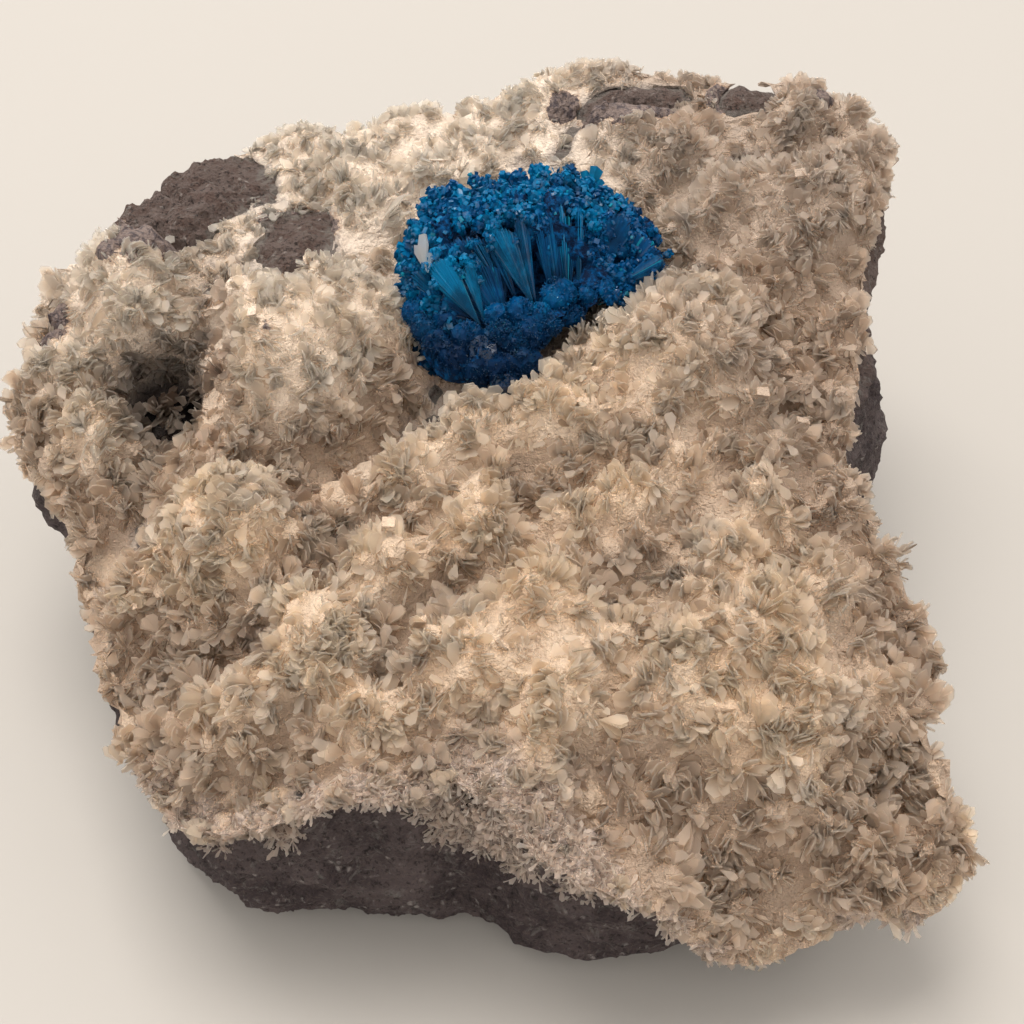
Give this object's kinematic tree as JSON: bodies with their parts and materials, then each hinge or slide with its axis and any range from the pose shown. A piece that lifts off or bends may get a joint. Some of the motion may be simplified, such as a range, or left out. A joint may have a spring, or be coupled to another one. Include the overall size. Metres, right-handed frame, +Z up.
{
  "type": "mineral specimen",
  "caption": "Rough chunk of basalt coated with a lumpy stilbite crust, with a rounded spray of blue cavansite crystals grown on top; rests on its flat foot.",
  "frame": {"origin": "on the flat foot, under the middle of the specimen's bounding box", "axes": "+Z up from the foot, -Y towards the side with the bare basalt face, +X to the right seen from there"},
  "size_m": [0.0669, 0.0667, 0.0335],
  "materials": {
    "basalt": "broken, matte, purplish grey",
    "stilbite": "crystalline, translucent cream, bright blade edges",
    "cavansite": "glassy blades, deep blue to teal"
  },
  "bodies": {
    "root": {"basalt_matrix": "basalt", "stilbite_crust": "stilbite", "cavansite_cluster": "cavansite"}
  },
  "joints": []
}
